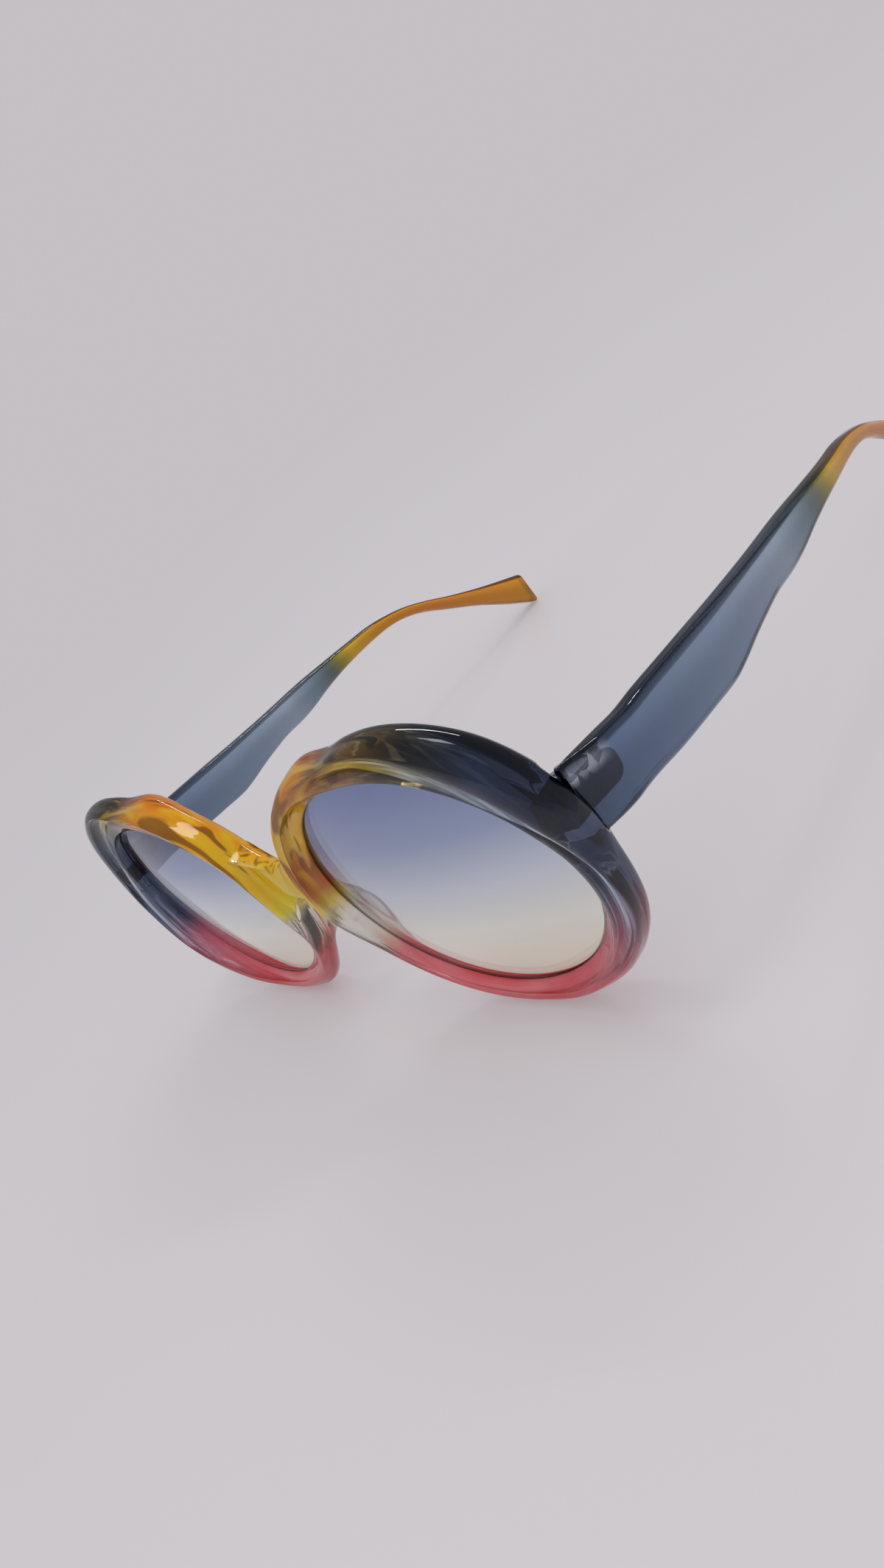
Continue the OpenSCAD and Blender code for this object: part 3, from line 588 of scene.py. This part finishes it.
def lens_sheet(side):
    """Sheet between two spheres: rings of the oval outline scaled down to the middle, on the outer sphere
    in front and the inner one behind, closed round the edge. Its field is the share of ground edge."""
    t = np.arange(LENS_TURNS) * 2 * math.pi / LENS_TURNS
    n = np.hypot(OPEN_B * np.cos(t), OPEN_A * np.sin(t))
    outline_x = OPEN_A * np.cos(t) + GROOVE_D * OPEN_B * np.cos(t) / n
    outline_z = OPEN_B * np.sin(t) + GROOVE_D * OPEN_A * np.sin(t) / n
    scale = np.concatenate([np.linspace(0, GROUND_FROM, LENS_RINGS)[1:], GROUND_RINGS])
    count = len(scale)
    scale = np.concatenate([scale, scale[::-1]])
    x, z = outline_x * scale[:, None], outline_z * scale[:, None]
    radius = np.repeat([BASE_R + LENS_T / 2, BASE_R - LENS_T / 2], count)[:, None]
    y = BASE_R - LENS_TOP - np.sqrt(radius**2 - (x * x + z * z))
    y[count - 1] += LENS_CHAMFER
    y[count] -= LENS_CHAMFER
    ends = np.array([[0, BASE_R - LENS_TOP - r, 0] for r in (radius[0, 0], radius[-1, 0])])
    p = np.vstack([np.stack([x, y, z], -1).reshape(-1, 3), ends])
    p = wrapped(p[:, 0], p[:, 1], p[:, 2]) * [side, 1, 1]
    index = np.arange(x.size).reshape(x.shape)
    following = np.roll(index, -1, 1)
    faces = [tuple(f) for f in grid_quads(index, False, True)]
    faces += [(x.size, i, j) for i, j in zip(index[0], following[0])]
    faces += [(x.size + 1, j, i) for i, j in zip(index[-1], following[-1])]
    ground = np.repeat(np.clip((scale - GROUND_FROM) / GROUND_FADE, 0, 1), LENS_TURNS)
    return stood_on_table(p), faces, {"edge_share": np.concatenate([ground, [0, 0]])}


def lens_material():
    """Tinted sheet whose colour follows the height, with the dark look of its ground edge in the groove."""
    mat, tree, out = new_material("graded lens tint")
    z = joined(tree, "ShaderNodeSeparateXYZ", {0: own_place(tree)}, 2)
    share = spread(tree, z, (FRONT_Z - TINT_REACH) / 1000, (FRONT_Z + TINT_REACH) / 1000)
    colour = blend(tree, by_point(tree, "edge_share"), colour_run(tree, share, TINT_RUN), GROUND_TONE)
    polished(tree, out, colour, LENS_ROUGHNESS, faint_waves(tree, *LENS_WAVES))
    return mat


tint = lens_material()
for side, name in ((1, "left_lens"), (-1, "right_lens")):
    lens = finished_mesh(name + "_sheet", *lens_sheet(side))
    lens.data.materials.append(tint)
    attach(lens, "front")
    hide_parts(name)

# Temples.
# Flat moulded arms, rounded along their edges, that belly out below behind the hinge and bend down over
# the ear to a cut-off tip. Smoke at the front runs through olive to amber at the tips.
TEMPLE_L, TEMPLE_T, TEMPLE_SLOPE = 141, 3.8, math.radians(5)
HINGE_X, HINGE_RISE, BARREL_D, BARREL_GAP = 67.3, 9.3, 3.2, 0.15
TIP_H, END_GAP, ARM_RISE = 9.7, 0.25, 0.6
TEMPLE_START, TEMPLE_Z = BACK_Y + END_GAP, FRONT_Z + HINGE_RISE + ARM_RISE
TEMPLE_X = HINGE_X + BARREL_D / 2 + BARREL_GAP + TEMPLE_T / 2
TIP_DROP = TEMPLE_Z - TEMPLE_L * math.tan(TEMPLE_SLOPE)

# Each table goes back along the temple as (mm behind the front's own plane, mm): its top above its slanting
# middle line, its bottom below that, its middle's way sideways, and its thickness.
TEMPLE_RISE = [
    (0, 5), (5, 4.7), (11, 4.3), (15, 4), (20, 4.1), (25, 4), (33, 3.8), (43, 3.5),
    (54, 3.35), (66, 3.4), (76, 3.05), (86, 2.65), (92, 2.4), (98, 1.5), (104, 0), (110, -2.4),
    (118, -6.2), (128, -10.4), (TEMPLE_L, TIP_H - TIP_DROP)]
TEMPLE_FALL = [
    (0, 6.5), (5, 6.3), (12, 6.1), (20, 6.7), (29, 7.1), (35, 7.3), (39, 6.8), (44, 5.8),
    (49, 5), (54, 4.4), (60, 4.3), (65, 3.8), (71, 2.8), (78, 1.95), (86, 1.45), (92, 1.3),
    (97, 1.5), (102, 2.4), (108, 4.7), (116, 9.3), (124, 14), (133, 20), (TEMPLE_L, TIP_DROP)]
TEMPLE_SIDE = [
    (0, 0), (20, 0.7), (50, 0.4), (80, -0.6), (95, -2.3), (110, -4.4), (125, -5.8), (TEMPLE_L, -6.4)]
TEMPLE_THICK = [
    (0, TEMPLE_T), (60, TEMPLE_T - 0.2), (95, TEMPLE_T - 0.5), (120, TEMPLE_T - 0.4),
    (TEMPLE_L, TEMPLE_T + 0.4)]
TEMPLE_RINGS, TEMPLE_CORNER, CORNER_TURNS, FLAT_STEPS = 420, 1.3, 9, 7
MITRE, MITRE_L, MITRE_BOW = 1.9, 6.5, 1.5

# The ends' small round edge: how far from the end its rings lie, and how far they draw in. Then the band of
# frosted chip marks at the hinge plate, made pale as a painted highlight: its middle, half width and fading
# by share of the temple's height, and its length, with as much again over which it fades.
END_STEPS, END_DRAWN, END_L, CAP_SHARE = np.array([0, 0.06, 0.2]), np.array([0.35, 0.16, 0.05]), 0.4, 0.8
GLINT_CHIP_RISE, GLINT_CHIP_BAND, GLINT_CHIP_FADE, GLINT_CHIP_L = 0.83, 0.13, 0.05, 3.5


def temple_arm(side):
    """Rounded upright bar along Y: at each distance its top, bottom, thickness and sideways place come from
    the tables, and its section is a rectangle with round corners, each a quarter turn of points, joined by
    straight steps. Both ends draw in by a small round edge to a flat face, and the outer face is mitred
    where it meets the front. Its fields are the share of the height and the share of frosted chip marks
    that carry a painted highlight."""
    run = np.linspace(TEMPLE_START + END_L, TEMPLE_L - END_L, TEMPLE_RINGS)
    s = np.concatenate([TEMPLE_START + END_STEPS, run, TEMPLE_L - END_STEPS[::-1]])
    drawn = np.concatenate([END_DRAWN, np.zeros(TEMPLE_RINGS), END_DRAWN[::-1]])[:, None]
    top = along(TEMPLE_RISE, s, False)[:, None] - drawn
    low = -along(TEMPLE_FALL, s, False)[:, None] + drawn
    half = along(TEMPLE_THICK, s, False)[:, None] / 2 - drawn
    middle = along(TEMPLE_SIDE, s, False)[:, None]
    r = TEMPLE_CORNER - drawn
    t = np.radians(np.concatenate([np.linspace(90 * k, 90 * k + 90, CORNER_TURNS) for k in range(4)]))
    right = np.repeat([1, -1, -1, 1], CORNER_TURNS)
    up = np.repeat([1, 1, -1, -1], CORNER_TURNS)
    nearness = np.clip(1 - (s[:, None] - TEMPLE_START) / MITRE_L, 0, 1)
    x = middle + right * (half - r) + r * np.cos(t) - (right > 0) * MITRE * nearness**MITRE_BOW
    z = np.where(up > 0, top - r, low + r) + r * np.sin(t)
    corners = np.split(np.stack([x, z], -1), 4, 1)
    w = (np.arange(1, FLAT_STEPS) / FLAT_STEPS)[None, :, None]
    ring = np.concatenate([part for a, b in zip(corners, corners[1:] + corners[:1])
                           for part in (a, a[:, -1:] * (1 - w) + b[:, :1] * w)], 1)
    caps = [end.mean(0) + (end - end.mean(0)) * CAP_SHARE for end in (ring[0], ring[-1])]
    ring = np.concatenate([caps[:1], ring, caps[1:]])
    s, top, low = (np.concatenate([v[:1], v, v[-1:]]) for v in (s[:, None], top, low))
    p = np.stack([(TEMPLE_X + ring[..., 0]) * side, np.broadcast_to(s - HALF_LENGTH, ring.shape[:2]),
                  TEMPLE_Z - s * math.tan(TEMPLE_SLOPE) + ring[..., 1]], -1)
    index = np.arange(p.shape[0] * p.shape[1]).reshape(p.shape[:2])
    faces = [tuple(f) for f in grid_quads(index, False, True)]
    faces += [tuple(index[0][::-1]), tuple(index[-1])]
    rise = (ring[..., 1] - low) / (top - low)
    glint_chipped = (np.clip(2 - (s - TEMPLE_START) / GLINT_CHIP_L, 0, 1)
               * np.clip((GLINT_CHIP_BAND - np.abs(rise - GLINT_CHIP_RISE)) / GLINT_CHIP_FADE, 0, 1))
    return p.reshape(-1, 3) / 1000, faces, {"rise_share": rise.reshape(-1), "glint_chip_share": glint_chipped.reshape(-1)}


# The colours go back along the temple as its tables do, and are multiplied by painted light and shade, which
# go up it by share of its height: painted shade at the bottom and top edges, a painted highlight band below
# the top.
TEMPLE_RUN = [
    (0, (0.08, 0.13, 0.24)), (10, (0.14, 0.22, 0.38)), (28, (0.24, 0.34, 0.50)), (45, (0.33, 0.43, 0.59)),
    (60, (0.45, 0.56, 0.69)), (68, (0.27, 0.38, 0.47)), (75, (0.15, 0.20, 0.21)), (78, (0.36, 0.34, 0.06)),
    (83, (1.0, 0.62, 0.03)), (94, (1.0, 0.42, 0.010)), (112, (1.0, 0.34, 0.02)),
    (TEMPLE_L, (1.0, 0.42, 0.001))]
RISE_LIGHT_AND_SHADE = [
    (0.0, (0.45, 0.45, 0.46)), (0.04, (0.8, 0.8, 0.8)), (0.25, (0.68, 0.68, 0.69)),
    (0.5, (0.68, 0.69, 0.70)), (0.8, (1.0, 1.0, 0.99)), (0.87, (1.0, 1.0, 0.98)), (0.89, (0.2, 0.2, 0.21)),
    (1.0, (0.06, 0.06, 0.07))]
CLOUD_REACH, CLOUD_SCALE, TEMPLE_ROUGHNESS, TEMPLE_WAVES = 0.006, 60.0, 0.07, (70.0, 0.08)
# Frosted chip marks over the hinge plate, pale as a painted highlight: cell scale, range, tone and clearness.
GLINT_CHIP_SCALE, GLINT_CHIP_RANGE, GLINT_CHIP_TONE, GLINT_CHIP_CLEAR = 700.0, (0.3, 0.65, 0.25, 1.0), (0.62, 0.64, 0.70), 0.35
SMOKE_CLEAR, AMBER_CLEAR, AMBER_FROM, AMBER_TO = 0.88, 0.5, 76, 84


def temple_material():
    """Satin clear plastic whose colour follows the distance back from the front, a little blurred by a cloud
    through it, with painted shade along its top and bottom edges and a painted highlight band below the top
    one.
    The amber is cloudier than the smoke, and pale frosted chip marks, brightened as a painted highlight, lie
    over the hinge plate, as cells of which each has its own strength."""
    mat, tree, out = new_material("graded temple plastic")
    y = joined(tree, "ShaderNodeSeparateXYZ", {0: own_place(tree)}, 1)
    cloud = noise(tree, own_place(tree), CLOUD_SCALE, 3.0)
    y = maths(tree, "MULTIPLY_ADD", cloud, CLOUD_REACH, y)
    front_y = CLOUD_REACH / 2 - HALF_LENGTH / 1000
    share = spread(tree, y, front_y, front_y + TEMPLE_L / 1000)
    colour = colour_run(tree, share, [(s / TEMPLE_L, c) for s, c in TEMPLE_RUN])
    # Painted shade along the top and bottom edges and a painted highlight band below the top, multiplied in.
    shade = colour_run(tree, by_point(tree, "rise_share"), RISE_LIGHT_AND_SHADE)
    colour = blend(tree, 1.0, colour, shade, blend_type="MULTIPLY")
    # Pale frosted chip cells near the hinge plate, a painted highlight.
    glint_cells = joined(tree, "ShaderNodeTexVoronoi", {"Vector": own_place(tree), "Scale": GLINT_CHIP_SCALE}, "Color")
    glint_chipped = maths(tree, "MULTIPLY", spread(tree, glint_cells, *GLINT_CHIP_RANGE), by_point(tree, "glint_chip_share"))
    colour = blend(tree, glint_chipped, colour, GLINT_CHIP_TONE)
    clear = spread(tree, share, AMBER_FROM / TEMPLE_L, AMBER_TO / TEMPLE_L, SMOKE_CLEAR, AMBER_CLEAR)
    clear = spread(tree, glint_chipped, 0.0, 1.0, clear, GLINT_CHIP_CLEAR)
    polished(tree, out, colour, TEMPLE_ROUGHNESS, faint_waves(tree, *TEMPLE_WAVES), clear)
    smoked(tree, out)
    return mat


arm_plastic = temple_material()
for side, name, body in ((1, "left_temple", "left_arm"), (-1, "right_temple", "right_arm")):
    arm = finished_mesh(name + "_arm", *temple_arm(side))
    arm.data.materials.append(arm_plastic)
    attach(arm, body)
    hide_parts(name)

# Hinges.
# Each is a block with three barrels sunk into the end of the front, a round-ended plate with two barrels let
# into the temple and riveted there, both nickel silver, and a slotted steel screw through all five.
GRAIN_SCALE, GRAIN_RANGE, GRAIN_SHADE, GRAIN_ROUGHENS = 1500.0, (0.3, 0.7), 0.8, (-0.06, 0.08)


def metal(name, base, roughness):
    """Satin metal: fine uneven grain in its colour and roughness, with a faint bump."""
    mat, tree, out = new_material(name)
    grain = noise(tree, own_place(tree), GRAIN_SCALE, 4.0)
    shaded = tuple(GRAIN_SHADE * c for c in base)
    colour = colour_run(tree, grain, list(zip(GRAIN_RANGE, (shaded, base))))
    rough = spread(tree, grain, 0.0, 1.0, *(roughness + more for more in GRAIN_ROUGHENS))
    bump = joined(tree, "ShaderNodeBump", {"Height": grain, "Strength": 0.15, "Distance": 0.0001}, "Normal")
    shader = joined(tree, "ShaderNodeBsdfPrincipled",
                    {"Base Color": colour, "Roughness": rough, "Metallic": 1.0, "Normal": bump})
    tree.links.new(shader, out.inputs["Surface"])
    return mat


# The rivet's flat long head: its length, half its width and its thickness, the plate's face it sits on, and
# its place on that face.
RIVET_L, RIVET_R, RIVET_T, RIVET_X = 2.6, 0.36, 0.15, 70.26
RIVET_Y, RIVET_Z, RIVET_TURNS = -61.0, 38.1, 32


def rivet_head(side):
    """Flat long head with round ends: an outline that goes round by the angle t, with half the head's
    straight length added on the side to which the cosine of t points, in three layers out from the plate.
    A touch is added to t there, so that no point falls in the middle."""
    t = np.arange(RIVET_TURNS) * 2 * math.pi / RIVET_TURNS
    y = RIVET_R * np.cos(t) + np.sign(np.cos(t + 0.01)) * (RIVET_L / 2 - RIVET_R)
    layers = [(0.0, 1.0), (RIVET_T * 0.7, 1.0), (RIVET_T, 0.9)]
    p = np.concatenate([np.stack([np.full(RIVET_TURNS, RIVET_X + up) * side, RIVET_Y + y * k,
                                  RIVET_Z + RIVET_R * np.sin(t) * k], -1) for up, k in layers])
    index = np.arange(len(layers) * RIVET_TURNS).reshape(len(layers), RIVET_TURNS)
    faces = [tuple(f) for f in grid_quads(index, False, True)] + [tuple(index[0][::-1]), tuple(index[-1])]
    return p / 1000, faces


# The hinge leaves' nickel silver gets a near-black colour: painted shade standing in for the dark room it
# mirrors.
darkened_leaf_metal = metal("nickel silver", (0.10, 0.10, 0.12), 0.3)
screw_metal = metal("polished screw steel", (0.66, 0.66, 0.68), 0.2)
for node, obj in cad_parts.items():
    if "hinge" in node:
        obj.data.materials.clear()
        obj.data.materials.append(screw_metal if "screw" in node else darkened_leaf_metal)
for side, name, body in ((1, "left", "left_arm"), (-1, "right", "right_arm")):
    head = finished_mesh(name + "_rivet_head", *rivet_head(side))
    head.data.materials.append(screw_metal)
    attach(head, body)

# Table, light and camera.
# A pale polished table under broad soft light, seen from the photograph's side. Far from the glasses it
# shows the same even tone as the air behind it, with no horizon. Gloss mirrors a dimmer, bluer room.
TABLE_SIZE, TABLE_LIGHT_AND_SHADE_PATCHES, TABLE_ROUGHNESS = 400, 4.0, 0.3
TABLE_LIGHT_AND_SHADE_TONES = [(0.3, (0.64, 0.605, 0.62)), (0.7, (0.67, 0.635, 0.65))]
PALE, DIM, DIM_OVERHEAD = (0.56, 0.53, 0.55), (0.30, 0.30, 0.33), (0.22, 0.25, 0.31)

# How far out in m the table passes into its even tone and its mirror image into the dim one, how high up
# the room is at its bluest, the even tone's least share, and its level beside the glasses.
EVEN_RANGE, DIM_RANGE, OVERHEAD_RANGE, EVEN_LEAST, NEAR_LEVEL = (0.3, 1.0), (0.25, 0.8), (0.1, 0.7), 0.4, 1.1
SOFT_TONE, SOFT_LEVEL = (0.82, 0.83, 0.86), 0.98
CAMERA_PLACE, CAMERA_TURN = (0.16741, -0.14197, 0.09887), (62.528, 36.804, 39.786)
CAMERA_LENS, CAMERA_SENSOR, CAMERA_NEAR = 25.679, 36, 0.01


def background_rays(tree):
    """1 for the rays that look at the background: straight from the camera, mirrored or refracted."""
    path = tree.nodes.new("ShaderNodeLightPath")
    straight = maths(tree, "MAXIMUM", path.outputs["Is Camera Ray"], path.outputs["Is Glossy Ray"])
    return maths(tree, "MAXIMUM", straight, path.outputs["Is Transmission Ray"])


def mirrored_rays(tree):
    """1 for the rays that a glossy surface mirrors, without those that pass through clear plastic."""
    path = tree.nodes.new("ShaderNodeLightPath")
    return joined(tree, "ShaderNodeMath", {0: path.outputs["Is Glossy Ray"],
                                           1: path.outputs["Is Transmission Ray"]},
                  operation="SUBTRACT", use_clamp=True)


bpy.ops.mesh.primitive_plane_add(size=TABLE_SIZE, location=(0, 0, 0))
table = bpy.context.object
table.name = "table_top"
mat, tree, out = new_material("pale table")
# Broad faint patches of painted light and shade over the lit table.
pale = colour_run(tree, noise(tree, own_place(tree), TABLE_LIGHT_AND_SHADE_PATCHES, 2.0), TABLE_LIGHT_AND_SHADE_TONES)
lit = joined(tree, "ShaderNodeBsdfPrincipled", {"Base Color": pale, "Roughness": TABLE_ROUGHNESS})
away = joined(tree, "ShaderNodeVectorMath", {0: own_place(tree)}, "Value", operation="LENGTH")
level, far, dim = (spread(tree, away, *limits, interpolation_type="SMOOTHSTEP")
                   for limits in ((*EVEN_RANGE, NEAR_LEVEL, 1.0), (*EVEN_RANGE, EVEN_LEAST), DIM_RANGE))
tone = blend(tree, maths(tree, "MULTIPLY", dim, mirrored_rays(tree)), PALE, DIM)
even = joined(tree, "ShaderNodeEmission", {"Color": tone, "Strength": level})
shown = maths(tree, "MULTIPLY", far, background_rays(tree))
tree.links.new(joined(tree, "ShaderNodeMixShader", {0: shown, 1: lit, 2: even}), out.inputs["Surface"])
table.data.materials.append(mat)

world = bpy.data.worlds.new("studio")
bpy.context.scene.world = world
world.use_nodes = True
tree = world.node_tree
tree.nodes.clear()
out = tree.nodes.new("ShaderNodeOutputWorld")
light = joined(tree, "ShaderNodeBackground", {"Color": (*SOFT_TONE, 1), "Strength": SOFT_LEVEL})
up = joined(tree, "ShaderNodeSeparateXYZ", {0: joined(tree, "ShaderNodeTexCoord", {}, "Generated")}, 2)
room = blend(tree, spread(tree, up, *OVERHEAD_RANGE), DIM, DIM_OVERHEAD)
tone = blend(tree, mirrored_rays(tree), PALE, room)
behind = joined(tree, "ShaderNodeBackground", {"Color": tone, "Strength": 1.0})
mixed = joined(tree, "ShaderNodeMixShader", {0: background_rays(tree), 1: light, 2: behind})
tree.links.new(mixed, out.inputs["Surface"])


def soft_light(name, place, aim, size, watts):
    """Oblong area light at a place, turned to its aim."""
    lamp = bpy.data.lights.new(name, "AREA")
    lamp.shape = "RECTANGLE"
    lamp.size, lamp.size_y = size
    lamp.energy = watts
    obj = bpy.data.objects.new(name, lamp)
    bpy.context.scene.collection.objects.link(obj)
    way = np.array(aim, float) - np.array(place, float)
    obj.location = place
    obj.rotation_euler = (math.atan2(math.hypot(way[0], way[1]), -way[2]), 0, math.atan2(-way[0], way[1]))


soft_light("window", (-0.25, 0.55, 0.75), (0, 0, 0), (0.5, 0.02), 0.9)
soft_light("ceiling", (0.05, -0.05, 1.1), (0, 0, 0), (0.3, 0.3), 1.5)

camera = bpy.data.objects.new("camera", bpy.data.cameras.new("camera"))
bpy.context.scene.collection.objects.link(camera)
camera.data.lens = CAMERA_LENS
camera.data.sensor_width = CAMERA_SENSOR
camera.data.clip_start = CAMERA_NEAR
camera.location = CAMERA_PLACE
camera.rotation_euler = tuple(math.radians(v) for v in CAMERA_TURN)
bpy.context.scene.camera = camera
bpy.context.scene.view_settings.view_transform = "Standard"
